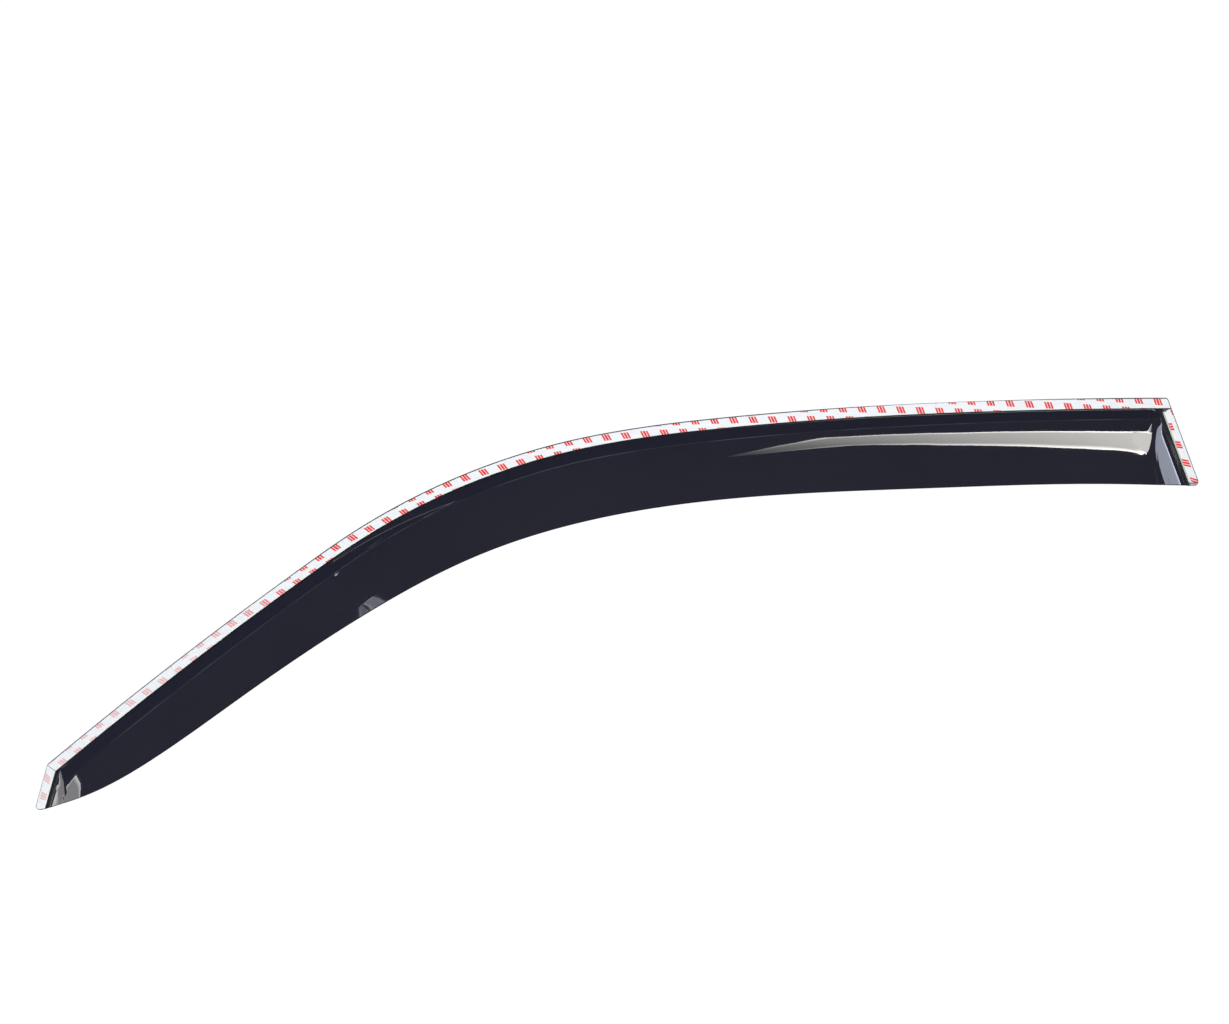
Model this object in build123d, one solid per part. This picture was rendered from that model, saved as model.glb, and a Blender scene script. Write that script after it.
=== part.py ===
from build123d import *
import os
from math import acos, asin, cos, degrees, radians, sin, tan

# Outline, in mm, seen from the tape side: x towards the rear of the car, z up
rear_corner_x = 475.6
rear_corner_z = 33.9
top_heading = 180.08
roof_rear_radius = 4845.0
roof_rear_turn = 2.81
roof_front_radius = 3018.0
roof_front_turn = 3.3
header_lead_radius = 1053.0
header_lead_turn = 4.13
header_radius = 598.0
header_turn = 24.96
pillar_radius = 3826.0
pillar_turn = 4.54
rear_lean = 20.3
rear_length = 81.5
front_lean = 15.6
front_length = 41.6
lower_edge_points = [
    (-451.5, -307.5),
    (-399.9, -278.4),
    (-322.5, -224.0),
    (-219.3, -155.1),
    (-116.1, -101.2),
    (-12.9, -69.9),
    (116.1, -51.7),
    (270.9, -44.0),
    (412.8, -40.2),
]
corner_radius = 3.5

# Sheet and its form
sheet = 2.5
flange_width = 9.0
valley_radius = 1.0
web_start_angle = 30.0
web_radius = 140.0
end_wall_angle = 46.0
mitre_radius = 14.0
rim_radius = 0.5

# Tape and release liner
tape_width = 8.0
end_tape_width = 7.6
tape_inset = 1.0
tape_thickness = 0.8
liner_thickness = 0.1
front_gap = 0.5
rear_gap = 0.3
rear_notch = 3.7
rear_tape_stop = 3.4

# Levels along y: bonding face at 0, flange behind the tape
flange_level = liner_thickness + tape_thickness
bend_radius = valley_radius + sheet
run_out = 0.75 * rear_length
cut_depth = -2 * flange_level - bend_radius

rear_corner = Vector(rear_corner_x, rear_corner_z)
top_arcs = [
    (roof_rear_radius, roof_rear_turn),
    (roof_front_radius, roof_front_turn),
    (header_lead_radius, header_lead_turn),
    (header_radius, header_turn),
    (pillar_radius, pillar_turn),
]


def heading_vector(angle):
    """Unit vector at an angle from the x axis."""
    return Vector(cos(radians(angle)), sin(radians(angle)))


def top_run(inset, extra=0.0):
    """Tangent arcs along the top edge, rear to front, moved inwards and run on past both ends."""
    first = top_arcs[0][0]
    centre = rear_corner + heading_vector(top_heading + 90) * first
    heading = top_heading - degrees(extra / first)
    start = centre - heading_vector(heading + 90) * (first - inset)
    arcs = []
    for number, (radius, turn) in enumerate(top_arcs):
        if number in (0, len(top_arcs) - 1):
            turn += degrees(extra / radius)
        arc = JernArc(start, heading_vector(heading), radius - inset, turn)
        arcs.append(arc)
        start = arc @ 1
        heading += turn
    return arcs


front_corner = top_run(0)[-1] @ 1
rear_down = heading_vector(rear_lean - 90)
rear_in = heading_vector(rear_lean - 180)
front_down = heading_vector(-90 - front_lean)
front_in = heading_vector(-front_lean)
rear_toe = rear_corner + rear_down * rear_length
front_toe = front_corner + front_down * front_length


def on_side(flat, level):
    """A sketch in outline coordinates, stood up at a level along y."""
    return Plane.XZ.offset(-level) * flat


def nearest(shape, point):
    """The vertex of a flat shape next to a point."""
    return shape.vertices().sort_by_distance(point)[0]


# Trimmed outline
lower_edge = Spline(front_toe, *lower_edge_points, rear_toe)
outline = make_face(
    top_run(0) + [Line(front_corner, front_toe), lower_edge, Line(rear_toe, rear_corner)]
)
for corner in (rear_corner, rear_toe, front_toe, front_corner):
    outline = fillet(nearest(outline, corner), corner_radius)
extent = outline.bounding_box().size
centre = outline.bounding_box().center()
trim = extrude(on_side(outline, flange_level - sheet), amount=web_radius, dir=(0, 1, 0))


def web_section(grow):
    """The space under the web in the top edge's section: inwards from the edge, then out from the flange."""
    foot = flange_width + bend_radius * tan(radians(web_start_angle / 2))
    middle = foot + web_radius * sin(radians(web_start_angle))
    base = -web_radius * cos(radians(web_start_angle))
    radius = web_radius + grow
    reach = 1.4 * rear_length - 2 * grow
    low = degrees(acos((cut_depth - base) / radius))
    high = degrees(asin((middle - reach) / radius))

    def at(angle):
        return Vector(middle - radius * sin(radians(angle)), base + radius * cos(radians(angle)))

    arc = ThreePointArc(at(low), at((low + high) / 2), at(high))
    floor = Polyline(at(high), (reach, cut_depth), at(low))
    return make_face([arc, floor])


def end_space(corner, inwards, grow):
    """The space inside an end wall, over the whole part."""
    slope = tan(radians(end_wall_angle))
    foot = flange_width + bend_radius * tan(radians(end_wall_angle / 2)) - grow / sin(radians(end_wall_angle))
    top = web_radius / 2
    far = 1.4 * extent.X
    section = make_face(
        Polyline(
            (foot + cut_depth / slope, cut_depth),
            (foot + top / slope, top),
            (far, top),
            (far, cut_depth),
            close=True,
        )
    )
    across = Vector(inwards.X, 0, inwards.Y)
    normal = across.cross(Vector(0, 1, 0))
    seat = Plane(origin=(corner.X, flange_level, corner.Y), x_dir=across, z_dir=normal)
    return extrude(seat * section, amount=extent.X, both=True)


def hood(grow):
    """The space under the formed hood, grown outwards by a distance."""
    path = top_run(0, run_out)
    start = path[0] @ 0
    heading = path[0] % 0
    tangent = Vector(heading.X, 0, heading.Y)
    inwards = Vector(-heading.Y, 0, heading.X)
    seat = Plane(origin=(start.X, flange_level, start.Y), x_dir=inwards, z_dir=-tangent)
    line = on_side(Curve() + path, flange_level)
    space = sweep(seat * web_section(grow), path=line)
    space &= end_space(rear_corner, rear_in, grow)
    space &= end_space(front_corner, front_in, grow)
    mitres = space.edges().filter_by(GeomType.BSPLINE)
    return fillet(mitres, mitre_radius + grow)


# Formed sheet: flange plate, hood and the bends between them, then trimmed to the outline
plate = Pos(centre.X, flange_level + sheet / 2, centre.Y) * Box(1.4 * extent.X, sheet, 2 * extent.Y)
behind = Pos(centre.X, flange_level + web_radius / 2, centre.Y) * Box(1.4 * extent.X, web_radius, 2 * extent.Y)
formed = plate + (hood(sheet) & behind) - hood(0)


def bends(level, radius, shape):
    """Rounds the edges at one level that lie within the outline."""
    face = on_side(outline, level)
    chain = shape.edges().filter_by_position(Axis.Y, level - 0.01, level + 0.01)
    chain = [edge for edge in chain if edge.distance_to(face) < 0.01]
    return fillet(chain, radius)


formed = bends(flange_level + sheet, valley_radius, formed)
formed = bends(flange_level, bend_radius, formed)
visor_shell = formed & trim
rim = visor_shell.faces().filter_by(lambda face: abs(face.normal_at().Y) < 0.001)
rim_edges = rim.edges().filter_by(lambda edge: abs((edge % 0.5).Y) < 0.9)
visor_shell = fillet(rim_edges, rim_radius)


# Tape strips: the top strip runs over both corners and the end strips stop short of it
def at_end(corner, inwards, down, across, along):
    """A point from an end's corner, inwards from the end and down along it."""
    return corner + inwards * across + down * along


tape_inner = tape_inset + tape_width
end_inner = tape_inset + end_tape_width
upper_run = top_run(tape_inset, run_out)
under_run = top_run(tape_inner, run_out)
band = make_face(
    upper_run + under_run + [Line(upper_run[0] @ 0, under_run[0] @ 0), Line(upper_run[-1] @ 1, under_run[-1] @ 1)]
)
margin = offset(outline, -tape_inset)

# Front mitre, from the outline's corner to the meeting of the two strips' inner edges
pillar = top_heading + sum(turn for _, turn in top_arcs) - 180
pillar_across = cos(radians(pillar + front_lean))
pillar_along = sin(radians(pillar + front_lean))
mitre_slope = (tape_inner - end_inner * pillar_along) / (end_inner * pillar_across)


def front_point(across, along):
    """A point by the front end, with the distance along the end taken from the mitre."""
    return at_end(front_corner, front_in, front_down, across, mitre_slope * across + along)


front_side = make_face(
    Polyline(
        front_point(-run_out, -front_gap / 2),
        front_point(run_out, -front_gap / 2),
        front_point(run_out, 4 * run_out),
        front_point(-run_out, 4 * run_out),
        close=True,
    )
)
top_strip = (band & margin) - front_side


def toe_point(across):
    """A point by the front end, the tape's inset above the lower edge, which is nearly straight there."""
    heading = lower_edge % 0
    fall = heading.dot(front_down) * across - tape_inset
    return at_end(front_corner, front_in, front_down, across, front_length + fall / heading.dot(front_in))


front_strip = make_face(
    Polyline(
        front_point(tape_inset, front_gap / 2),
        front_point(end_inner, front_gap / 2),
        toe_point(end_inner),
        toe_point(tape_inset),
        close=True,
    )
)
front_strip = fillet(nearest(front_strip, front_toe), corner_radius - tape_inset)


def rear_point(across, drop):
    """A point by the rear end, at a height below the rear corner."""
    along = (drop - across * sin(radians(rear_lean))) / cos(radians(rear_lean))
    return at_end(rear_corner, rear_in, rear_down, across, along)


rear_stop = rear_length * cos(radians(rear_lean)) - rear_tape_stop
rear_strip = make_face(
    Polyline(
        rear_point(tape_inset, tape_inner + rear_gap),
        rear_point(end_inner, tape_inner + rear_notch),
        rear_point(end_inner, rear_stop),
        rear_point(tape_inset, rear_stop),
        close=True,
    )
)


def layer(flat, level, thickness):
    """A flat strip given its thickness behind a level."""
    return extrude(on_side(flat, level), amount=thickness, dir=(0, 1, 0))


os.makedirs("parts", exist_ok=True)
export_step(visor_shell, "parts/visor_shell.step")
for place, flat in (("top", top_strip), ("front", front_strip), ("rear", rear_strip)):
    export_step(layer(flat, liner_thickness, tape_thickness), f"parts/tape_{place}.step")
    export_step(layer(flat, 0, liner_thickness), f"parts/liner_{place}.step")
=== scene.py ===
"""Looks of a window rain deflector: a smoke acrylic visor with foam tape and printed liners on its flange."""

import math
from typing import NamedTuple

import bpy
import numpy as np
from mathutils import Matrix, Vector


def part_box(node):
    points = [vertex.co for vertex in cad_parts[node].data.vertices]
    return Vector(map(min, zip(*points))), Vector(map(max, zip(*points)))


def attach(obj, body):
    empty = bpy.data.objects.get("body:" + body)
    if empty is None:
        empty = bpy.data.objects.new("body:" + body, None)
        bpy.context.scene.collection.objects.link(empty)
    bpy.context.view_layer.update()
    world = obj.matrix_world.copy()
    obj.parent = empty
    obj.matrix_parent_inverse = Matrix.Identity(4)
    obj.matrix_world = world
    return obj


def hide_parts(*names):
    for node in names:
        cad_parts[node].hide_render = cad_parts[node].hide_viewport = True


bl_info = {
    "name": "Window rain deflector",
    "version": (1, 0, 0),
    "blender": (4, 5, 0),
    "location": "View3D > Sidebar > Deflector",
    "description": "Builds the visor, its tapes and liners, and the studio round them",
    "category": "Object",
}

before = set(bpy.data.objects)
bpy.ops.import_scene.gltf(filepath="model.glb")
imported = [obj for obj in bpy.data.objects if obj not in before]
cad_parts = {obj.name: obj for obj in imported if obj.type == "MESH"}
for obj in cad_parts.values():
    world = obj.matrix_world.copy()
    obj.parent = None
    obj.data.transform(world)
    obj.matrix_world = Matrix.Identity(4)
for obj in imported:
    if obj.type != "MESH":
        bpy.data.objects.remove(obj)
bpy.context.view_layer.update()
BODY = "root"
MM = 0.001
FLANGE_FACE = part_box("visor_shell")[0].y
LINER_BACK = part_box("liner_top")[1].y

# Outline seen from the tape side, in mm: the top edge's tangent arcs from rear to front, then the lower edge
REAR_CORNER = np.array((475.6, 33.9))
TOP_HEADING = math.radians(180.08)
TOP_RADII = np.array((4845.0, 3018.0, 1053.0, 598.0, 3826.0))
TOP_TURNS = np.radians((2.81, 3.3, 4.13, 24.96, 4.54))
REAR_DOWN = math.radians(290.3)
REAR_LENGTH = 81.5
FRONT_DOWN = math.radians(254.4)
FRONT_LENGTH = 41.6
PILLAR_START = -258.0
LOWER_EDGE = (
    (-451.5, -307.5), (-399.9, -278.4), (-322.5, -224.0), (-219.3, -155.1), (-116.1, -101.2),
    (-12.9, -69.9), (116.1, -51.7), (270.9, -44.0), (412.8, -40.2),
)
LOWER_EDGE_STEPS = 6000


class Card(NamedTuple):
    """Card that only the gloss sees, in a plane square to an axis, in metres.

    Straight lines join its two bent edges. The rims are the shares of it that shine brighter along edge one,
    edge two, its start and its end, and it fades towards its start by a power.
    """

    axis: int
    place: float
    one: tuple
    two: tuple
    share: float
    colour: tuple
    fade: float = 0.0
    rims: tuple = (0.22, 0.10, 0.05, 0.05)


WARM_WHITE = (1.0, 0.985, 0.93)
SOFT_WHITE = (1.0, 0.99, 0.98)
PURE_WHITE = (1.0, 1.0, 1.0)
COOL_WHITE = (0.95, 0.98, 1.12)
PALE_BLUE = (0.90, 0.95, 1.15)

CARDS = {
    "roof_card": Card(
        axis=1, place=-1.0, share=1.0, colour=WARM_WHITE, fade=0.95, rims=(0.22, 0.10, 0.05, 0.004),
        one=(
            (0.24, -0.76), (0.41, -0.78), (0.73, -0.535), (0.744, -0.500),
            (0.749, -0.463), (0.7555, -0.483), (0.762, -0.510), (0.767, -0.55),
        ),
        two=((0.24, -0.76), (0.40, -0.99), (0.83, -0.85)),
    ),
    "roof_corner_card": Card(
        axis=1, place=-0.015, share=1.0, colour=WARM_WHITE, rims=(0.0, 0.08, 0.0, 0.0),
        one=(
            (0.4715, -0.0279), (0.4676, -0.0271), (0.4639, -0.0261), (0.4603, -0.0241),
            (0.4579, -0.0224), (0.4565, -0.0197), (0.4569, -0.0170),
        ),
        two=((0.4715, -0.0163), (0.4570, -0.0163)),
    ),
    "rear_card": Card(
        axis=0, place=-1.2, share=0.48, colour=PALE_BLUE, rims=(0.0, 0.05, 0.05, 0.0),
        one=(
            (-0.24, -0.66), (-0.60, -0.70), (-0.755, -0.785), (-0.77, -0.838), (-0.90, -0.85),
            (-1.0, -0.866), (-1.10, -0.897), (-1.28, -1.02), (-1.36, -1.09),
        ),
        two=(
            (-0.235, -0.838), (-0.34, -0.838), (-0.66, -1.008),
            (-1.05, -1.225), (-1.26, -1.26), (-1.36, -1.19),
        ),
    ),
    "front_end_card": Card(
        axis=0, place=-0.41, share=0.29, colour=SOFT_WHITE,
        one=((-0.076, -0.389), (-0.068, -0.3815), (-0.036, -0.3535), (-0.0175, -0.3435), (-0.0012, -0.3375)),
        two=(
            (-0.086, -0.4005), (-0.084, -0.398), (-0.065, -0.382),
            (-0.0433, -0.3672), (-0.020, -0.3593), (-0.0012, -0.360),
        ),
    ),
    "front_card": Card(
        axis=1, place=-0.15, share=0.32, colour=SOFT_WHITE,
        one=((-0.470, -0.4525), (-0.480, -0.412)),
        two=(
            (-0.416, -0.4515), (-0.422, -0.442), (-0.429, -0.432),
            (-0.436, -0.426), (-0.446, -0.420), (-0.460, -0.412),
        ),
    ),
    "foot_card": Card(
        axis=1, place=-0.002, share=0.32, colour=SOFT_WHITE, rims=(0.0, 0.0, 0.0, 0.0),
        one=((-0.452, -0.3385), (-0.4621, -0.3345), (-0.4671, -0.3325), (-0.4699, -0.331), (-0.472, -0.327)),
        two=(
            (-0.4545, -0.331), (-0.4596, -0.3275), (-0.4662, -0.3228),
            (-0.4703, -0.3178), (-0.4715, -0.316),
        ),
    ),
    "low_card_left": Card(
        axis=1, place=-1.0, share=0.14, colour=COOL_WHITE,
        one=((-0.150, -0.490), (-0.215, -0.405)),
        two=((-0.144, -0.490), (-0.178, -0.436), (-0.209, -0.387)),
    ),
    "low_card_right": Card(
        axis=1, place=-1.0, share=0.20, colour=COOL_WHITE,
        one=((-0.141, -0.490), (-0.172, -0.436), (-0.207, -0.383)),
        two=((-0.130, -0.490), (-0.200, -0.365)),
    ),
    "thin_card_upper": Card(
        axis=1, place=-0.2, share=0.12, colour=PURE_WHITE,
        one=((-0.116, -0.368), (-0.056, -0.280)),
        two=((-0.112, -0.368), (-0.054, -0.281)),
    ),
    "thin_card_lower": Card(
        axis=1, place=-0.2, share=0.30, colour=PURE_WHITE, fade=2.0,
        one=((-0.088, -0.317), (-0.140, -0.313), (-0.152, -0.313)),
        two=((-0.088, -0.314), (-0.140, -0.3105), (-0.152, -0.3095)),
    ),
}


def length_value(name, description, default):
    """Property that holds a length."""
    return bpy.props.FloatProperty(name=name, description=description, default=default, unit="LENGTH")


def angle_value(name, description, degrees):
    """Property that holds an angle."""
    default = math.radians(degrees)
    return bpy.props.FloatProperty(name=name, description=description, default=default, subtype="ANGLE")


def colour_value(name, description, default):
    """Property that holds a colour."""
    return bpy.props.FloatVectorProperty(
        name=name, description=description, default=default, subtype="COLOR", size=3
    )


class VisorForm(bpy.types.PropertyGroup):
    """Sizes of the formed visor."""

    sheet: length_value("Sheet", "Thickness of the acrylic", 0.0025)
    flange_width: length_value("Flange", "Flat width that the tape sits on", 0.009)
    bend_radius: length_value("Bend", "Tape side radius of the bend at the flange", 0.0035)
    web_start: angle_value("Web start", "Slope of the web where it leaves the flange", 30)
    web_radius: length_value("Web radius", "Radius of the web's section", 0.1395)
    end_slope: angle_value("End slope", "Slope of an end wall where it leaves the flange", 52)
    end_radius: length_value("End radius", "Radius of an end wall's section", 0.1)
    mitre_radius: length_value("Mitre", "Radius between the web and an end wall", 0.014)
    corner_radius: length_value("Corner", "Radius of the outline's corners", 0.0037)
    rim_radius: length_value("Rim", "Rounding of the cut edges", 0.0005)
    line_rear: length_value("Line at the rear", "From the top edge to the line, at the rear", 0.0182)
    line_front: length_value("Line at the front", "From the top edge to the line, by the pillar", 0.0203)
    line_height: length_value("Line height", "Height of the forming line", 0.00002)


class TapeForm(bpy.types.PropertyGroup):
    """Sizes of the liners on the tape strips."""

    inset: length_value("Inset", "Bare flange outside the tape", 0.001)
    width: length_value("Top width", "Width of the top strip", 0.008)
    end_width: length_value("End width", "Width of the strips at both ends", 0.0076)
    front_gap: length_value("Front gap", "Gap at the front mitre", 0.0005)
    corner_radius: length_value("Corner", "Radius of the strips' outer corners", 0.0025)
    rear_gap: length_value("Rear gap", "Outer gap between the top and rear strips", 0.0003)
    rear_notch: length_value("Rear notch", "Inner gap between the top and rear strips", 0.0037)
    rear_stop: length_value("Rear stop", "Bare flange past the rear strip", 0.0034)
    rear_set_back: length_value("Rear set-back", "Foam left bare along the rear liner's inner edge", 0.0011)
    print_pitch: length_value("Print pitch", "Distance from mark to mark", 0.0168)


class DeflectorFinish(bpy.types.PropertyGroup):
    """Colours and gloss of the materials."""

    smoke: colour_value("Smoke", "Body of the smoke acrylic", (0.0168, 0.0165, 0.0258))
    # Painted shade: darker, bluer smoke up to the forming line, where the steeper wall mirrors the dark
    # surroundings
    painted_wall_shade: colour_value("Drawn smoke", "Acrylic from the bend to the forming line", (0.0140, 0.0146, 0.0250))
    # Painted highlight: the forming line lightened where its crease would catch a glint
    painted_line_glint: colour_value("Forming line", "Faint line that forming left", (0.048, 0.057, 0.066))
    # Partly the frosted cut edge, partly a painted highlight along the rim
    edge: colour_value("Cut edge", "Frosted cut edge of the flange", (0.27, 0.29, 0.38))
    # Painted light: a near-white rim at the rear toe, for the liner's light showing through the edge
    painted_glow_edge: colour_value("Pale cut edge", "Cut edge with the white liner behind it", (0.80, 0.76, 0.82))
    backed: colour_value("Backed flange", "Flange seen over the pale tape", (0.24, 0.24, 0.23))
    dust: colour_value("Dust", "Settled specks", (0.11, 0.11, 0.12))
    foam: colour_value("Foam", "Side of the foam tape", (0.60, 0.68, 0.62))
    liner: colour_value("Liner", "Release liner", (0.835, 0.855, 0.875))
    ink: colour_value("Ink", "Marks printed on the liner", (0.78, 0.022, 0.014))
    gloss: bpy.props.FloatProperty(
        name="Gloss",
        description="Roughness of the acrylic",
        default=0.022,
        min=0.0,
        max=1.0,
        subtype="FACTOR",
    )


class StudioForm(bpy.types.PropertyGroup):
    """Camera, floor and light."""

    camera_distance: length_value("Camera distance", "From the lens to the bonding face", 1.73)
    picture_width: length_value("Picture width", "Width of the picture at the bonding face", 1.0569)
    aim_x: length_value("Aim x", "Middle of the picture, sideways", -0.00043)
    aim_z: length_value("Aim z", "Middle of the picture, upwards", -0.0645)
    floor_level: length_value("Floor", "Height of the floor", -0.85)
    key_power: bpy.props.FloatProperty(
        name="Key", description="Power of the soft light over the camera", default=45.3, unit="POWER"
    )
    card_strength: bpy.props.FloatProperty(
        name="Cards", description="Brightness of the cards that the gloss mirrors", default=14.5
    )


def heading_unit(angle):
    """Unit vectors in the outline's plane: (cosine, sine) of an angle from the x axis."""
    return np.stack([np.cos(angle), np.sin(angle)], axis=-1)


def left_unit(angle):
    """Unit vectors a quarter turn to the left of a heading: (minus sine, cosine)."""
    return np.stack([-np.sin(angle), np.cos(angle)], axis=-1)


def unit(vector):
    """Vectors over their lengths."""
    return vector / np.linalg.norm(vector, axis=-1, keepdims=True)


# Joints of the top edge, with a heading and a length at each. From arc to arc the centre shifts along the
# joint's normal by the change of radius.
JOINT_HEADING = TOP_HEADING + np.concatenate([[0.0], np.cumsum(TOP_TURNS)])
JOINT_LENGTH = np.concatenate([[0.0], np.cumsum(TOP_RADII * TOP_TURNS)])
CENTRE_SHIFTS = np.diff(TOP_RADII, prepend=0.0)[:, None] * left_unit(JOINT_HEADING[:-1])
CENTRES = REAR_CORNER + np.cumsum(CENTRE_SHIFTS, axis=0)
JOINTS = CENTRES[:-1] - TOP_RADII[:-1, None] * left_unit(JOINT_HEADING[1:-1])
TOP_LENGTH = JOINT_LENGTH[-1]
FRONT_CORNER = CENTRES[-1] - TOP_RADII[-1] * left_unit(JOINT_HEADING[-1])
REAR_IN = heading_unit(REAR_DOWN - math.pi / 2)
FRONT_IN = heading_unit(FRONT_DOWN + math.pi / 2)
REAR_TOE = REAR_CORNER + REAR_LENGTH * heading_unit(REAR_DOWN)
FRONT_TOE = FRONT_CORNER + FRONT_LENGTH * heading_unit(FRONT_DOWN)


def top_heading(length):
    """Heading at a length along the top edge: the arc's first heading plus length over radius."""
    arc = np.searchsorted(JOINT_LENGTH[1:-1], length)
    return JOINT_HEADING[arc] + (length - JOINT_LENGTH[arc]) / TOP_RADII[arc]


def top_point(length, inset=0.0):
    """Point at a length along the top edge, moved inwards.

    It is the arc's centre less the shortened radius along the arc's normal.
    """
    arc = np.searchsorted(JOINT_LENGTH[1:-1], length)
    reach = (TOP_RADII[arc] - inset)[..., None]
    return CENTRES[arc] - reach * left_unit(top_heading(length))


def from_top(plan):
    """Distance of plan points from the top edge, and the way inwards.

    The distance is the radius less the distance to the centre of the arc whose joints the point lies between.
    """
    passed = [(plan - joint) @ heading_unit(angle) > 0 for joint, angle in zip(JOINTS, JOINT_HEADING[1:-1])]
    arc = np.sum(passed, axis=0)
    towards = CENTRES[arc] - plan
    return TOP_RADII[arc] - np.linalg.norm(towards, axis=-1), unit(towards)


def from_ends(plan):
    """Distances of plan points inwards from the rear end and from the front end."""
    return (plan - REAR_CORNER) @ REAR_IN, (plan - FRONT_CORNER) @ FRONT_IN


def first_slope(at, knots):
    """Slope at the first of four points of the cubic through them, from their divided differences."""
    one = np.diff(knots, axis=0) / np.diff(at)[:, None]
    two = np.diff(one, axis=0) / (at[2:] - at[:-2])[:, None]
    three = (two[1] - two[0]) / (at[3] - at[0])
    return one[0] + (at[0] - at[1]) * (two[0] + (at[0] - at[2]) * three)


def lower_curve():
    """Lower edge from front toe to rear toe: the cubic spline through its points over chord length.

    Its end slopes are those of the cubics through the four points at each end, and its second derivatives
    solve the tridiagonal system.
    """
    knots = np.vstack([FRONT_TOE, LOWER_EDGE, REAR_TOE])
    step = np.linalg.norm(np.diff(knots, axis=0), axis=1)
    at = np.concatenate([[0.0], np.cumsum(step)])
    system = np.diag(2 * (np.append(0.0, step) + np.append(step, 0.0))) + np.diag(step, 1) + np.diag(step, -1)
    slope = np.diff(knots, axis=0) / step[:, None]
    slope = np.vstack([first_slope(at[:4], knots[:4]), slope, first_slope(at[:-5:-1], knots[:-5:-1])])
    bend = np.linalg.solve(system, 6 * np.diff(slope, axis=0))
    where = np.linspace(0.0, at[-1], LOWER_EDGE_STEPS)
    span = np.clip(np.searchsorted(at, where, side="right") - 1, 0, len(step) - 1)
    left, gone, wide = (at[span + 1] - where)[:, None], (where - at[span])[:, None], step[span][:, None]
    start = knots[span] / wide - bend[span] * wide / 6
    stop = knots[span + 1] / wide - bend[span + 1] * wide / 6
    cubic = (bend[span] * left**3 + bend[span + 1] * gone**3) / (6 * wide)
    return cubic + start * left + stop * gone


def smooth_step(value):
    """Cubic step from 0 to 1: three squares less two cubes."""
    value = np.clip(value, 0.0, 1.0)
    return value * value * (3 - 2 * value)


def fade_in(value, start, width):
    """Smooth step from 0 at a start to 1 a width later."""
    return smooth_step((value - start) / width)


def fade_out(value, start, width):
    """Smooth step from 1 at a start to 0 a width later."""
    return 1 - fade_in(value, start, width)


def round_corner(plan, corner, one, two, radius):
    """Rounds a plan grid's sharp corner between two legs.

    In the rhombus up to the two tangent points, each L-shaped layer at a share m from both sides becomes an
    arc of 1 - m times the radius. The share of a leg is the share of the half arc's angle, from the bisector.
    """
    one, two = unit(one), unit(two)
    half = math.acos(float(one @ two)) / 2
    run = radius / math.tan(half)
    slack, least = 0.05, 1e-9
    local = (plan - corner) @ np.linalg.inv(np.stack([one, two])) / run
    inside = np.all((local > -slack) & (local < 1.0), axis=-1)
    local = np.clip(local, 0.0, 1.0)
    layer = local.min(axis=-1)
    left = np.maximum(1 - layer, least)
    angle = (local[..., 0] - local[..., 1]) / left * (math.pi / 2 - half)
    bisector, across = (one + two) / (2 * math.cos(half)), (one - two) / (2 * math.sin(half))
    apex = corner + layer[..., None] * run * (one + two)
    bent = (1 / math.sin(half) - np.cos(angle))[..., None] * bisector + np.sin(angle)[..., None] * across
    return np.where(inside[..., None], apex + radius * left[..., None] * bent, plan)


def visor_ribs(ladder):
    """Ribs from the top edge: the length where each starts, its start, its direction and its lean.

    They are parallel to each end near it, spaced by a ladder of distances, and turn by a smooth step until
    they are square to the top edge.
    """
    middle_ribs, rear_fan, front_fan = 300, 95.0, 170.0
    rear_share = float(heading_unit(TOP_HEADING) @ REAR_IN)
    front_share = float(-heading_unit(JOINT_HEADING[-1]) @ FRONT_IN)
    rear_zone, front_zone = ladder[-1] / rear_share, ladder[-1] / front_share
    middle = np.linspace(rear_zone, TOP_LENGTH - front_zone, middle_ribs + 2)[1:-1]
    length = np.concatenate([ladder / rear_share, middle, TOP_LENGTH - ladder[::-1] / front_share])
    square = top_heading(length) + math.pi / 2
    by_rear = fade_out(length, rear_zone, rear_fan)
    by_front = fade_out(TOP_LENGTH - length, front_zone, front_fan)
    along = heading_unit(square + by_rear * (REAR_DOWN - square) + by_front * (FRONT_DOWN - square))
    return length, top_point(length), along, np.sum(along * heading_unit(square), axis=1)


def rib_reach(start, along, rim):
    """Length of each rib to the lower edge, less the rim's width square to that edge.

    A rib meets the edge's step whose two ends lie on different sides of it, at the share where the side is 0.
    """
    edge = lower_curve()
    offset = edge[None] - start[:, None]
    side = offset[..., 0] * along[:, None, 1] - offset[..., 1] * along[:, None, 0]
    crossing = np.argmax((side[:, :-1] > 0) != (side[:, 1:] > 0), axis=1)
    ribs = np.arange(len(start))
    share = side[ribs, crossing] / (side[ribs, crossing] - side[ribs, crossing + 1])
    run = edge[crossing + 1] - edge[crossing]
    foot = edge[crossing] + share[:, None] * run
    run = unit(run)
    slant = np.abs(along[:, 0] * run[:, 1] - along[:, 1] * run[:, 0])
    return np.sum((foot - start) * along, axis=1) - rim / slant


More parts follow.
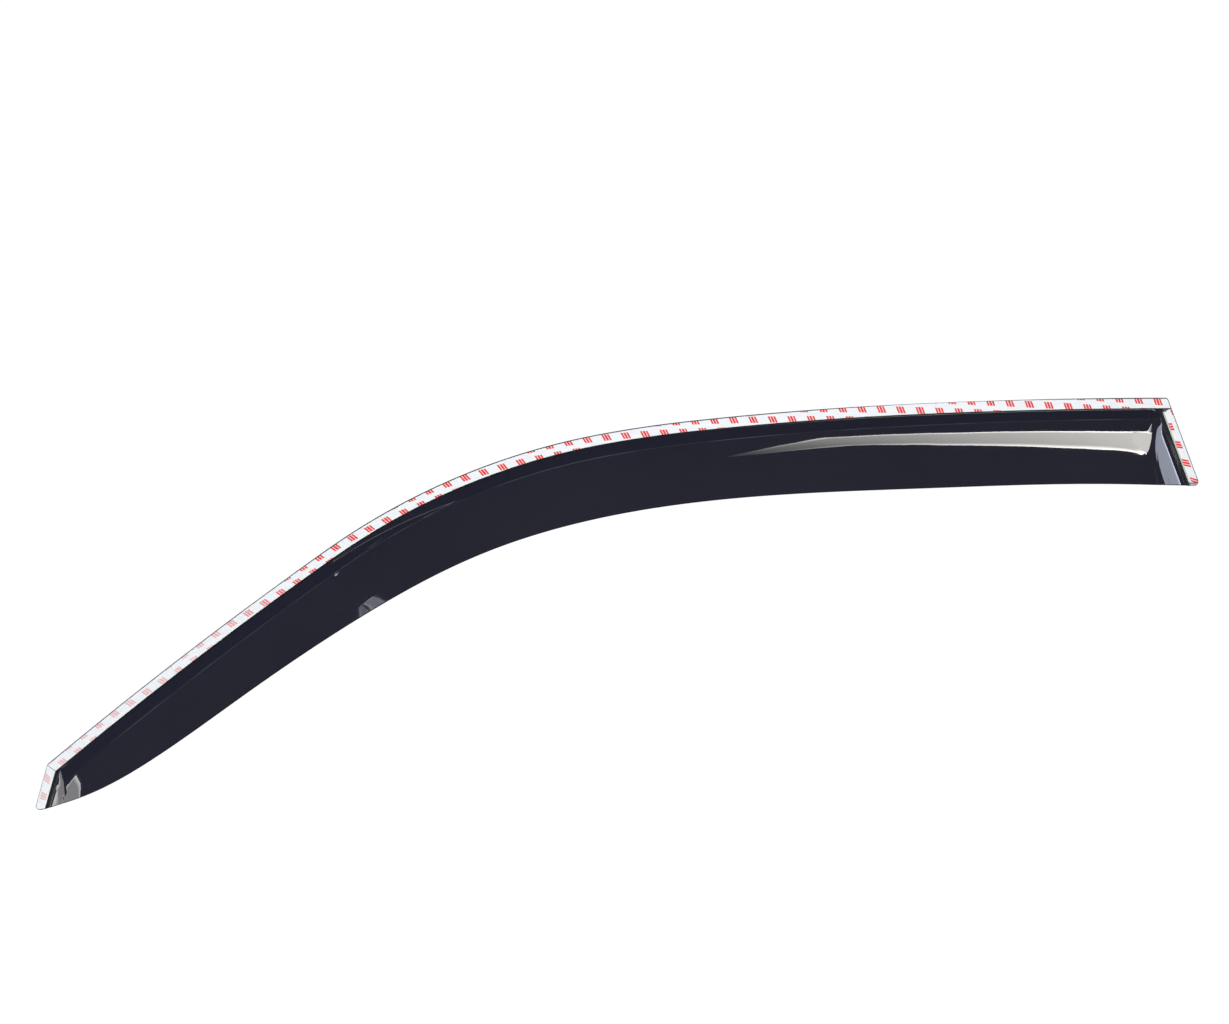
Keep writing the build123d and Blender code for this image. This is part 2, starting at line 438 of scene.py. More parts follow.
def visor_plan(form):
    """Plan grid of the visor, with the length along the top edge and the run down the rib at each point.

    Its rows lie at fixed distances from the top edge, closer at the rim, the bend and the forming line, then
    in proportion down the web, then at fixed distances from the lower edge.
    """
    rim = form.rim_radius / MM
    flange = np.concatenate([np.linspace(rim, 3.0, 7), np.linspace(4.0, 8.5, 4), np.linspace(8.9, 12.5, 10)])
    line = np.concatenate([np.linspace(13.3, 17.0, 5), np.linspace(17.4, 21.2, 13), [22.0]])
    last = np.array((2.6, 1.9, 1.3, 0.8, 0.4, 0.0))
    web_steps = 29
    length, start, along, lean = visor_ribs(np.concatenate([flange, np.linspace(13.3, 42.0, 27)]))
    top_rows = np.concatenate([flange, line])[None] / lean[:, None]
    low_rows = rib_reach(start, along, rim)[:, None] - last[None]
    between = np.linspace(0.0, 1.0, web_steps + 1)[None, 1:-1]
    web_rows = top_rows[:, -1:] + (low_rows[:, :1] - top_rows[:, -1:]) * between
    rows = np.concatenate([top_rows, web_rows, low_rows], axis=1)
    plan = start[:, None] + rows[..., None] * along[:, None]

    leg = 3
    for i, j in ((0, 0), (0, -1), (-1, -1), (-1, 0)):
        corner = plan[i, j]
        one = plan[i + leg * (1 + 2 * i), j] - corner
        two = plan[i, j + leg * (1 + 2 * j)] - corner
        plan = round_corner(plan, corner, one, two, form.corner_radius / MM - rim)
    return plan, np.broadcast_to(length[:, None], rows.shape), rows


def rounded_least(one, two, cosine, radius):
    """Lesser of two distances with the corner between them rounded.

    There it is the radius less the distance to the rolling ball's centre, from the two distances and the
    cosine between their normals.
    """
    a, b = radius - one, radius - two
    least = 1e-9
    squared = (a * a + b * b - 2 * a * b * cosine) / np.maximum(1 - cosine**2, least)
    inside = (a > b * cosine) & (b > a * cosine)
    return np.where(inside, radius - np.sqrt(np.maximum(squared, 0.0)), np.minimum(one, two))


def past_line(plan, away, form):
    """Distance of plan points past the forming line.

    The line's distance from the top edge grows evenly from the rear corner to where the pillar starts.
    """
    share = np.clip((REAR_CORNER[0] - plan[..., 0]) / (REAR_CORNER[0] - PILLAR_START), 0.0, 1.0)
    return away - (form.line_rear + (form.line_front - form.line_rear) * share) / MM


def line_shown(by_front):
    """Share of the forming line that shows at a distance from the front end: a smooth step."""
    return fade_in(by_front, 40.0, 25.0)


def hood_depth(plan, rise, form):
    """Depth inside the air space under the hood.

    It is the lesser of the depths inside the web's cylinder and the nearer end wall's, rounded by the mitre.
    A cylinder's axis lies its radius behind the foot's slope, and its depth is the radius less the distance
    to the axis. The forming line is a low bell curve across the web.
    """
    flange, bend, line_width = form.flange_width / MM, form.bend_radius / MM, 0.7
    away, inwards = from_top(plan)
    by_rear, by_front = from_ends(plan)
    end_in = np.where((by_rear < by_front)[..., None], REAR_IN, FRONT_IN)

    def cylinder(distance, radius, slope):
        back = np.maximum(flange + bend * math.tan(slope / 2) + radius * math.sin(slope) - distance, 0.0)
        up = rise + radius * math.cos(slope)
        far = np.hypot(back, up)
        return radius - far, back / far, up / far

    web, web_in, web_up = cylinder(away, form.web_radius / MM, form.web_start)
    wall, wall_in, wall_up = cylinder(np.minimum(by_rear, by_front), form.end_radius / MM, form.end_slope)
    bell = np.exp(-((past_line(plan, away, form) / line_width) ** 2))
    web = web + line_shown(by_front) * form.line_height / MM * bell
    cosine = web_in * wall_in * np.sum(inwards * end_in, axis=-1) + web_up * wall_up
    return rounded_least(web, wall, cosine, form.mitre_radius / MM)


def sheet_depth(plan, rise, form):
    """Depth inside the sheet from its tape side.

    That is behind the flange's face and outside the hood's air space, rounded by the bend.
    """
    step = 0.01
    air = hood_depth(plan, rise, form)
    lift = (air - hood_depth(plan, rise + step, form)) / step
    return rounded_least(rise, -air, lift, form.bend_radius / MM)


def sheet_rise(plan, form):
    """Rise of the tape side over the flange: the root of the depth, by halving."""
    lowest, highest, halvings = -1.0, 40.0, 44
    low, high = np.full(plan.shape[:-1], lowest), np.full(plan.shape[:-1], highest)
    for _ in range(halvings):
        half = (low + high) / 2
        over = sheet_depth(plan, half, form) > 0
        low, high = np.where(over, low, half), np.where(over, half, high)
    return (low + high) / 2


def sheet_normal(plan, rise, form):
    """Unit normal into the sheet: the depth's gradient, by central differences."""
    step = 0.02
    parts = [
        sheet_depth(plan + (step, 0.0), rise, form) - sheet_depth(plan - (step, 0.0), rise, form),
        sheet_depth(plan, rise + step, form) - sheet_depth(plan, rise - step, form),
        sheet_depth(plan + (0.0, step), rise, form) - sheet_depth(plan - (0.0, step), rise, form),
    ]
    return unit(np.stack(parts, axis=-1))


def in_place(plan, rise, level):
    """Points in metres from plan points and a rise in mm over a level along y."""
    return np.stack([plan[..., 0] * MM, level + rise * MM, plan[..., 1] * MM], axis=-1)


def border(grid):
    """Border of a grid, once round: first column, last row, last column back, first row back."""
    return np.concatenate([grid[:, 0], grid[-1, 1:], grid[-2::-1, -1], grid[0, -2:0:-1]])


def quads(grid):
    """Quads of a grid of vertex numbers."""
    return np.stack([grid[:-1, :-1], grid[1:, :-1], grid[1:, 1:], grid[:-1, 1:]], axis=-1).reshape(-1, 4)


def mesh_object(name, points, faces):
    """Object with a mesh of points and faces, linked to the scene."""
    mesh = bpy.data.meshes.new(name)
    mesh.from_pydata(points.tolist(), [], faces.tolist())
    piece = bpy.data.objects.new(name, mesh)
    bpy.context.scene.collection.objects.link(piece)
    return piece


def closed_sheet(name, front, back, rim, layout, smooth):
    """Closed mesh of a front grid, a back grid and rim rows between their borders.

    Its UV map has one pair of values per grid point, and the rim takes the border's.
    """
    count = front.shape[0] * front.shape[1]
    ahead = np.arange(count).reshape(front.shape[:2])
    behind = ahead + count
    ring = len(border(ahead))
    rows = [border(ahead), *(2 * count + np.arange(len(rim) * ring).reshape(-1, ring)), border(behind)]
    ladder = np.stack(rows, axis=1)
    ladder = np.concatenate([ladder, ladder[:1]])
    faces = np.concatenate([quads(ahead), quads(behind)[:, ::-1], quads(ladder)[:, ::-1]])
    piece = mesh_object(name, np.concatenate([front.reshape(-1, 3), back.reshape(-1, 3), *rim]), faces)
    mesh = piece.data
    mesh.polygons.foreach_set("use_smooth", np.full(len(faces), smooth))
    flat = layout.reshape(-1, 2)
    pairs = np.concatenate([flat, flat] + [border(layout)] * len(rim))
    corner = np.empty(len(mesh.loops), np.int32)
    mesh.loops.foreach_get("vertex_index", corner)
    mesh.uv_layers.new(name="UVMap").data.foreach_set("uv", pairs[corner].ravel())
    mesh.update()
    return piece


def point_values(piece, name, values):
    """Stores one number per vertex for a material to read."""
    piece.data.attributes.new(name, "FLOAT", "POINT").data.foreach_set("value", values.astype(np.float32))


def feed(tree, node, inputs):
    """Links a node's inputs to sockets, or sets them to plain values, by name or place."""
    for name, value in inputs.items():
        if isinstance(value, bpy.types.NodeSocket):
            tree.links.new(value, node.inputs[name])
        else:
            node.inputs[name].default_value = value


def new_node(tree, kind, inputs, **settings):
    """Makes a node with its settings and inputs, and gives its outputs."""
    node = tree.nodes.new("ShaderNode" + kind)
    for name, setting in settings.items():
        setattr(node, name, setting)
    feed(tree, node, inputs)
    return node.outputs


def calc(tree, operation, *terms):
    """Math node on sockets or numbers."""
    return new_node(tree, "Math", dict(enumerate(terms)), operation=operation)[0]


def times(tree, *terms):
    """Product of two or more sockets or numbers."""
    product = terms[0]
    for term in terms[1:]:
        product = calc(tree, "MULTIPLY", product, term)
    return product


def ramp(tree, value, low, high, to_low=0.0, to_high=1.0):
    """Smooth step of a value from one range to another."""
    inputs = {"Value": value, "From Min": low, "From Max": high, "To Min": to_low, "To Max": to_high}
    return new_node(tree, "MapRange", inputs, interpolation_type="SMOOTHSTEP")["Result"]


def blend_colour(tree, share, one, two):
    """Mixes two colours."""
    return new_node(tree, "Mix", {0: share, 6: one, 7: two}, data_type="RGBA")[2]


def blend_shader(tree, share, one, two):
    """Mixes two shaders."""
    return new_node(tree, "MixShader", {0: share, 1: one, 2: two})[0]


def grain(tree, vector, scale, detail=2.0, roughness=0.5):
    """Noise over a vector, as a number about a half."""
    inputs = {"Vector": vector, "Scale": scale, "Detail": detail, "Roughness": roughness}
    return new_node(tree, "TexNoise", inputs)["Fac"]


def cells(tree, vector, scale):
    """Cells over a vector: each point's distance to its cell's middle, and the cell's own colour."""
    outputs = new_node(tree, "TexVoronoi", {"Vector": vector, "Scale": scale})
    return outputs["Distance"], outputs["Color"]


def split(tree, vector):
    """The three numbers of a vector, by the names X, Y and Z."""
    return new_node(tree, "SeparateXYZ", {0: vector})


def stretched(tree, vector, scale, turn=(0.0, 0.0, 0.0)):
    """A vector turned and scaled per axis."""
    return new_node(tree, "Mapping", {"Vector": vector, "Scale": scale, "Rotation": turn})["Vector"]


def relief(tree, height, distance):
    """Bump from a height."""
    return new_node(tree, "Bump", {"Strength": 1.0, "Distance": distance, "Height": height})["Normal"]


def reading(tree, name):
    """Number stored on the mesh."""
    return new_node(tree, "Attribute", {}, attribute_name=name)["Fac"]


def new_material(name):
    """Plain material with its tree and its shader."""
    material = bpy.data.materials.new(name)
    material.use_nodes = True
    return material, material.node_tree, material.node_tree.nodes["Principled BSDF"]


def rgba(colour, share=1.0):
    """Colour made lighter or darker by a share, with full alpha."""
    return (*(share * part for part in colour), 1.0)


def smoke_acrylic(finish):
    """Near-black smoke acrylic with a deep gloss.

    It has faint hairlines, settled dust, a frosted cut edge on the flange that a painted highlight pales in
    places, a dull bend and rim darkened by painted shade, a darker, bluer painted shade up to the forming
    line, the forming line lightened as a painted highlight, and a paler flange where tape backs it, with
    painted light that darkens it towards the front.
    """
    material, tree, shader = new_material("smoke_acrylic")
    where = new_node(tree, "TexCoord", {})["Object"]
    dulled_and_painted_shade, edge_frost_and_highlight, line = (reading(tree, name) for name in ("dulled_and_painted_shade", "edge_frost_and_highlight", "past_line"))

    cloud = grain(tree, where, 9.0, 3.0)
    body = blend_colour(tree, ramp(tree, cloud, 0.3, 0.7), rgba(finish.smoke), rgba(finish.smoke, 1.12))
    # Painted shade: a darker, bluer tint from the top edge up to the forming line
    body = blend_colour(tree, ramp(tree, line, -0.4, 0.3, 1.0, 0.0), body, rgba(finish.painted_wall_shade))
    # Painted shade: the bend past the tape and the rim darkened towards black
    body = blend_colour(tree, times(tree, dulled_and_painted_shade, 0.85), body, (0.0, 0.0, 0.0, 1.0))

    # Painted highlight: the forming line lightened as a broken pale glint along the crease
    mark = ramp(tree, calc(tree, "ABSOLUTE", line), 0.15, 0.55, 1.0, 0.0)
    broken = ramp(tree, grain(tree, where, 14.0), 0.38, 0.62, 0.15, 1.0)
    mark = times(tree, mark, broken, reading(tree, "line_shown"))
    body = blend_colour(tree, mark, body, rgba(finish.painted_line_glint))

    mottle = ramp(tree, grain(tree, where, 900.0, 4.0, 0.7), 0.32, 0.68)
    backed = blend_colour(tree, mottle, rgba(finish.backed, 0.55), rgba(finish.backed))
    # Painted light: the backed flange is darker towards the front, down to a lighter copy of the smoke
    painted_light_to_rear = ramp(tree, split(tree, where)["X"], -0.25, 0.4, 0.25, 1.0)
    backed = blend_colour(tree, painted_light_to_rear, rgba(finish.smoke, 2.2), backed)
    body = blend_colour(tree, reading(tree, "tape_behind"), body, backed)

    # Frosted cut edge with a painted highlight, paler along the pillar and at the ends
    frost_and_highlight = times(tree, edge_frost_and_highlight, ramp(tree, grain(tree, where, 40.0), 0.25, 0.7, 0.45, 1.0))
    body = blend_colour(tree, frost_and_highlight, body, rgba(finish.edge))
    # Painted light: where the edge value passes 1, at the rear toe, the edge turns near-white as if lit
    # through by the liner
    body = blend_colour(tree, calc(tree, "SUBTRACT", edge_frost_and_highlight, 1.0), body, rgba(finish.painted_glow_edge))

    distance, number = cells(tree, where, 75.0)
    number = new_node(tree, "SeparateColor", {0: number})["Red"]
    speck = times(tree, ramp(tree, number, 0.80, 1.0), 0.030)
    dust = calc(tree, "LESS_THAN", distance, speck)
    body = blend_colour(tree, times(tree, dust, 0.8), body, rgba(finish.dust))

    hairlines = grain(tree, stretched(tree, where, (25.0, 400.0, 700.0), (0.0, 0.35, 0.0)), 1.0, 3.0, 0.6)
    rough = times(tree, ramp(tree, hairlines, 0.62, 0.75), 0.03)
    rough = calc(tree, "ADD", rough, 0.75 * finish.gloss)
    for cause, share in ((cloud, 0.5 * finish.gloss), (frost_and_highlight, 0.3), (dust, 0.5), (dulled_and_painted_shade, 0.5)):
        rough = calc(tree, "ADD", rough, times(tree, cause, share))
    waves = relief(tree, grain(tree, where, 30.0, 1.0), 0.00005)
    feed(tree, shader, {"Base Color": body, "Roughness": rough, "IOR": 1.49, "Normal": waves})
    return material


def foam_tape(finish):
    """Closed-cell foam: pale green-white with fine open cells along its cut sides."""
    material, tree, shader = new_material("foam_tape")
    where = new_node(tree, "TexCoord", {})["Object"]
    distance = cells(tree, where, 5200.0)[0]
    shade = ramp(tree, distance, 0.1, 0.75)
    patches = ramp(tree, grain(tree, where, 130.0, 3.0), 0.4, 0.8, 0.0, 0.25)
    colour = blend_colour(tree, shade, rgba(finish.foam), rgba(finish.foam, 0.72))
    colour = blend_colour(tree, patches, colour, rgba(finish.foam, 0.8))
    rough = ramp(tree, shade, 0.0, 1.0, 0.75, 0.95)
    pores = relief(tree, distance, 0.00006)
    feed(tree, shader, {"Base Color": colour, "Roughness": rough, "Normal": pores})
    return material


def printed_marks(tree, layout, pitch):
    """Groups of three slanted strokes on a lattice turned a little from the strip, as 1 on ink and 0 off it.

    The strip's edges cut through them. Sizes are in mm, apart from the pitches.
    """
    lattice_turn, row_pitch, row_shift = math.radians(4.1), 0.0086, 0.43
    lean, half_pitch, half_stroke, half_group, half_height = 0.45, 1.3, 1.02, 3.25, 2.7
    turned = split(tree, stretched(tree, layout, (1.0, 1.0, 1.0), (0.0, 0.0, lattice_turn)))

    def from_middle(cell, size):
        return times(tree, calc(tree, "SUBTRACT", calc(tree, "FRACT", cell), 0.5), size / MM)

    row = calc(tree, "DIVIDE", turned["Y"], row_pitch)
    column = calc(tree, "DIVIDE", turned["X"], pitch)
    column = calc(tree, "ADD", column, times(tree, calc(tree, "FLOOR", row), row_shift))
    high = from_middle(row, row_pitch)
    slant = calc(tree, "ADD", from_middle(column, pitch), times(tree, high, lean))
    wave = calc(tree, "PINGPONG", calc(tree, "ADD", slant, 10 * half_pitch), half_pitch)
    stroke = calc(tree, "LESS_THAN", wave, half_stroke)
    group = calc(tree, "LESS_THAN", calc(tree, "ABSOLUTE", slant), half_group)
    tall = calc(tree, "LESS_THAN", calc(tree, "ABSOLUTE", high), half_height)
    return times(tree, stroke, group, tall)


def release_liner(finish, pitch):
    """Coated film, off-white with a soft sheen, a slight cockle and red marks, paled towards the front by
    painted glare.
    """
    material, tree, shader = new_material("release_liner")
    places = new_node(tree, "TexCoord", {})
    where, layout = places["Object"], places["UV"]
    # Painted glare: the marks fade towards the front of the strips
    pale = ramp(tree, split(tree, layout)["X"], 0.74, 0.90, 1.0, 0.45)
    patchy = ramp(tree, grain(tree, where, 800.0, 3.0), 0.25, 0.6, 0.88, 1.0)
    ink = times(tree, printed_marks(tree, layout, pitch), pale, patchy)
    streaks = grain(tree, stretched(tree, layout, (60.0, 300.0, 1.0)), 1.0, 3.0)
    film = blend_colour(tree, streaks, rgba(finish.liner, 0.95), rgba(finish.liner, 1.05))
    colour = blend_colour(tree, ink, film, rgba(finish.ink))
    rough = ramp(tree, grain(tree, where, 200.0), 0.3, 0.7, 0.38, 0.5)
    cockle = relief(tree, grain(tree, stretched(tree, layout, (90.0, 160.0, 1.0)), 1.0), 0.00025)
    feed(tree, shader, {"Base Color": colour, "Roughness": rough, "Normal": cockle})
    return material


def rim_rows(front, into, form):
    """Rows round the cut edge: the border moved out and through the sheet over two quarter rounds."""
    ring, depth = border(front), border(into)
    out = unit(np.cross(depth, np.roll(ring, -1, axis=0) - np.roll(ring, 1, axis=0)))
    inner = np.concatenate([front[:, 1], front[-2, 1:], front[-2::-1, -2], front[1, -2:0:-1]])
    if np.mean(np.sum(out * (ring - inner), axis=1)) < 0:
        out = -out
    turn = np.radians((30.0, 60.0, 90.0))
    reach = form.rim_radius * np.sin(turn)
    through = form.rim_radius * (1 - np.cos(turn))
    reach = np.concatenate([reach, reach[::-1]])
    through = np.concatenate([through, form.sheet - through[::-1]])
    return [ring + a * out + b * depth for a, b in zip(reach, through)]


def finish_values(plan, form):
    """What the visor's finish reads, each as (tape side, back, rim) over the plan grid.

    The cut edge is frosted, and a painted highlight makes it paler along the pillar, at the front end and at
    the rear toe, and shows faintly in the notch between the top and rear strips. The bend past the tape is
    dull and darkened by painted shade, and so is the rest of the rim.
    """
    away = from_top(plan)[0]
    by_rear, by_front = from_ends(plan)
    by_end = np.minimum(by_rear, by_front)
    edge = np.minimum(away, by_end)
    on_pillar = fade_in(PILLAR_START - plan[..., 0], 0.0, 30.0)
    rear_toe = fade_in(REAR_TOE[1] - plan[..., 1], -3.6, 0.6) * fade_out(by_rear, 8.2, 0.7)
    front_toe = fade_in(FRONT_TOE[1] - plan[..., 1], -8.0, 0.6) * fade_out(by_front, 7.6, 0.7)
    notch = fade_in(away, 8.8, 0.3) * fade_out(away, 13.0, 2.0) * fade_out(by_rear, 7.2, 0.8)
    # Painted highlight: the cut edge is paler along the pillar, at the front end and at the rear toe, where
    # it passes 1 and turns near-white, over a faint frost everywhere
    frost_and_highlight_tone = 0.15 + 0.75 * on_pillar + 0.85 * fade_out(by_front, 0.8, 0.4)
    cut = np.max([fade_out(edge, 0.45, 0.5) * frost_and_highlight_tone, 1.3 * rear_toe, 0.35 * front_toe, 0.3 * notch], axis=0)

    # Painted shade and roughness: the rim away from the pillar, the lower rim and the bend past the tape get
    # darker and rougher
    dull_rim_painted_shade = fade_out(edge, 0.9, 0.3) * (1 - on_pillar)
    dull_rim_painted_shade[:, -1] = 1.0
    dull_rim_painted_shade *= 1 - rear_toe
    dull_bend_painted_shade = fade_in(edge, 8.4, 0.6) * fade_out(np.minimum(away, by_end - 1.7), 9.7, 1.0) * (1 - notch)
    none, far = np.zeros(edge.shape), np.full(edge.shape, 99.0)
    return {
        "edge_frost_and_highlight": (cut, cut, cut),
        "dulled_and_painted_shade": (np.maximum(dull_bend_painted_shade, dull_rim_painted_shade), none, dull_rim_painted_shade),
        "tape_behind": (none, fade_out(edge, 8.4, 0.5), none),
        "past_line": (past_line(plan, away, form), far, far),
        "line_shown": (line_shown(by_front), none, none),
    }


class DEFLECTOR_OT_visor(bpy.types.Operator):
    """Makes the formed smoke visor in place of its solid"""

    bl_idname = "deflector.visor"
    bl_label = "Visor"

    def execute(self, context):
        form = context.scene.visor_form
        plan, length, run = visor_plan(form)
        rise = sheet_rise(plan, form)
        into = sheet_normal(plan, rise, form)
        front = in_place(plan, rise, FLANGE_FACE)
        rim = rim_rows(front, into, form)
        layout = np.stack([length, run], axis=-1) * MM
        visor = closed_sheet("visor", front, front + form.sheet * into, rim, layout, True)
        for name, (ahead, behind, cut) in finish_values(plan, form).items():
            values = [ahead.ravel(), behind.ravel()] + [border(cut)] * len(rim)
            point_values(visor, name, np.concatenate(values))
        visor.data.materials.append(smoke_acrylic(context.scene.deflector_finish))
        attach(visor, BODY)
        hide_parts("visor_shell")
        return {"FINISHED"}


class DEFLECTOR_OT_tapes(bpy.types.Operator):
    """Gives the three foam tapes their finish"""

    bl_idname = "deflector.tapes"
    bl_label = "Foam tapes"

    def execute(self, context):
        foam = foam_tape(context.scene.deflector_finish)
        for name in ("tape_top", "tape_front", "tape_rear"):
            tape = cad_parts[name]
            tape.data.materials.clear()
            tape.data.materials.append(foam)
        return {"FINISHED"}


def laid_off(length):
    """How far the top liner reaches out over the bare flange: a bell curve over the roof, in mm."""
    reach, middle, width = 0.6, 185.0, 90.0
    return reach * np.exp(-(((length - middle) / width) ** 2))


def mitre(form):
    """Slope and half gap of the front mitre.

    It runs from the outline's corner to the meeting of the two strips' inner edges.
    """
    inner, end_inner = (form.inset + form.width) / MM, (form.inset + form.end_width) / MM
    lean = JOINT_HEADING[-1] - math.pi - (FRONT_DOWN - 1.5 * math.pi)
    return (inner - end_inner * math.sin(lean)) / (end_inner * math.cos(lean)), form.front_gap / MM / 2


def top_strip(form):
    """Plan grid of the top strip: rows at fixed insets along the top edge.

    Each row runs from its own start at the rear margin to its own end at the front mitre.
    """
    rows, columns, corner_columns, corner_share, leg = 15, 420, 9, 0.004, 6
    outer, inner = form.inset / MM, (form.inset + form.width) / MM
    inset = np.linspace(outer, inner, rows)
    start = outer - float(left_unit(TOP_HEADING) @ REAR_IN) * inset
    start = start / float(heading_unit(TOP_HEADING) @ REAR_IN)
    slope, shift = mitre(form)
    down = heading_unit(FRONT_DOWN)
    last, last_in = -heading_unit(JOINT_HEADING[-1]), left_unit(JOINT_HEADING[-1])
    across = (inset + shift * float(last_in @ down)) / float(last_in @ (FRONT_IN + slope * down))
    stop = TOP_LENGTH - across * float(last @ (FRONT_IN + slope * down)) + shift * float(last @ down)
    close = np.linspace(0.0, corner_share, corner_columns)[:-1]
    share = np.concatenate([close, np.linspace(corner_share, 1.0, columns)])[:, None]
    length = start + (stop - start) * share
    plan = top_point(length, inset - laid_off(length) * (inner - inset) / (inner - outer))
    corner = plan[0, 0]
    plan = round_corner(plan, corner, plan[leg, 0] - corner, plan[0, leg] - corner, form.corner_radius / MM)
    return plan, np.stack([length, np.broadcast_to(inset, length.shape)], axis=-1)


def four_sided(corners, rows, columns):
    """Plan grid between four corners: the two-way straight blend of them."""
    u, v = np.linspace(0, 1, rows)[:, None, None], np.linspace(0, 1, columns)[None, :, None]
    a, b, c, d = (np.asarray(corner)[None, None] for corner in corners)
    plan = (1 - u) * ((1 - v) * a + v * b) + u * ((1 - v) * d + v * c)
    long = np.linalg.norm(c - b) * u[..., 0]
    wide = np.linalg.norm(b - a) * v[..., 0]
    return plan, np.stack(np.broadcast_arrays(long, wide), axis=-1)


def front_strip(form):
    """Plan grid of the front strip, with its outer corner rounded.

    It runs from the mitre down to its inset from the lower edge, which is nearly straight there.
    """
    outer, inner = form.inset / MM, (form.inset + form.end_width) / MM
    slope, shift = mitre(form)
    down = heading_unit(FRONT_DOWN)
    first, second = lower_curve()[:2]
    heading = unit(second - first)

    def at(across, along):
        return FRONT_CORNER + FRONT_IN * across + down * along

    def toe(across):
        return at(across, FRONT_LENGTH + (heading @ down * across - outer) / (heading @ FRONT_IN))

    upper = at(inner, slope * inner + shift), at(outer, slope * outer + shift)
    plan, layout = four_sided((*upper, toe(outer), toe(inner)), 60, 25)
    corner = toe(outer)
    plan = round_corner(plan, corner, upper[1] - corner, toe(inner) - corner, form.corner_radius / MM)
    return plan, layout


def rear_strip(form):
    """Plan grid of the rear strip, from its slanted cut under the top strip down the rear end."""
    outer, inner = form.inset / MM, (form.inset + form.end_width - form.rear_set_back) / MM
    down, lean = heading_unit(REAR_DOWN), REAR_DOWN - 1.5 * math.pi
    under = (form.inset + form.width) / MM
    stop = REAR_LENGTH * math.cos(lean) - form.rear_stop / MM

    def at(across, drop):
        return REAR_CORNER + REAR_IN * across + down * (drop - across * math.sin(lean)) / math.cos(lean)

    upper = at(outer, under + form.rear_gap / MM), at(inner, under + form.rear_notch / MM)
    return four_sided((*upper, at(inner, stop), at(outer, stop)), 60, 9)


class DEFLECTOR_OT_liners(bpy.types.Operator):
    """Makes the printed liners in place of their solids"""

    bl_idname = "deflector.liners"
    bl_label = "Release liners"

    def execute(self, context):
        form = context.scene.tape_form
        film = release_liner(context.scene.deflector_finish, form.print_pitch)

        # A strip's shift along the print says where its marks fall and how much painted glare pales them
        strips = (("top", top_strip, 0.0), ("front", front_strip, 1.3), ("rear", rear_strip, 0.2))
        for place, shape, shift in strips:
            plan, layout = shape(form)
            level = np.zeros(plan.shape[:-1])
            front, back = in_place(plan, level, 0.0), in_place(plan, level, LINER_BACK)
            liner = closed_sheet("printed_liner_" + place, front, back, [], layout * MM + (shift, 0.0), False)
            liner.data.materials.append(film)
            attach(liner, BODY)
            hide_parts("liner_" + place)
        return {"FINISHED"}


def soft_light(name, place, aim, size, power, mirrored):
    """Rectangular soft light turned to its aim, mirrored by gloss or not."""
    data = bpy.data.lights.new(name, "AREA")
    data.shape = "RECTANGLE"
    data.size, data.size_y = size
    data.energy = power
    lamp = bpy.data.objects.new(name, data)
    bpy.context.scene.collection.objects.link(lamp)
    lamp.location = place
    lamp.visible_glossy = mirrored
    lamp.rotation_euler = (Vector(aim) - Vector(place)).to_track_quat("-Z", "Y").to_euler()


def even_line(points, count):
    """Bent line through points, spread evenly over its length."""
    points = np.array(points)
    along = np.concatenate([[0.0], np.cumsum(np.linalg.norm(np.diff(points, axis=0), axis=1))])
    share = np.linspace(0.0, along[-1], count)
    return np.stack([np.interp(share, along, points[:, axis]) for axis in range(points.shape[1])], axis=-1)


def gloss_card(name, card, strength):
    """Makes a card that only gloss sees, clear from behind.

    Its glow grows as a power of the share along it, and rises towards its rims by a smooth step.
    """
    steps_along, steps_across, rim_glow = 61, 25, 2.8
    edges = (even_line(edge, steps_along) for edge in (card.one, card.two))
    one, two = (np.insert(edge, card.axis, card.place, axis=-1) for edge in edges)
    across, along = np.linspace(0.0, 1.0, steps_across), np.linspace(0.0, 1.0, steps_along)[:, None]
    points = one[:, None] * (1 - across)[:, None] + two[:, None] * across[:, None]
    inner = np.ones((steps_along, steps_across))
    for share, rim in zip((across[None], 1 - across[None], along, 1 - along), card.rims):
        if rim > 0:
            inner = np.minimum(inner, share / rim)
    glow = strength * card.share * along**card.fade * (rim_glow - (rim_glow - 1) * smooth_step(inner))
    piece = mesh_object(name, points.reshape(-1, 3), quads(np.arange(glow.size).reshape(glow.shape)))
    point_values(piece, "glow", glow.ravel())

    material, tree, shader = new_material(name)
    tree.nodes.remove(shader)
    light = new_node(tree, "Emission", {"Color": rgba(card.colour), "Strength": reading(tree, "glow")})[0]
    clear = new_node(tree, "BsdfTransparent", {})[0]
    behind = new_node(tree, "NewGeometry", {})["Backfacing"]
    feed(tree, tree.nodes["Material Output"], {"Surface": blend_shader(tree, behind, light, clear)})
    piece.data.materials.append(material)
    piece.visible_camera = piece.visible_diffuse = piece.visible_transmission = piece.visible_shadow = False


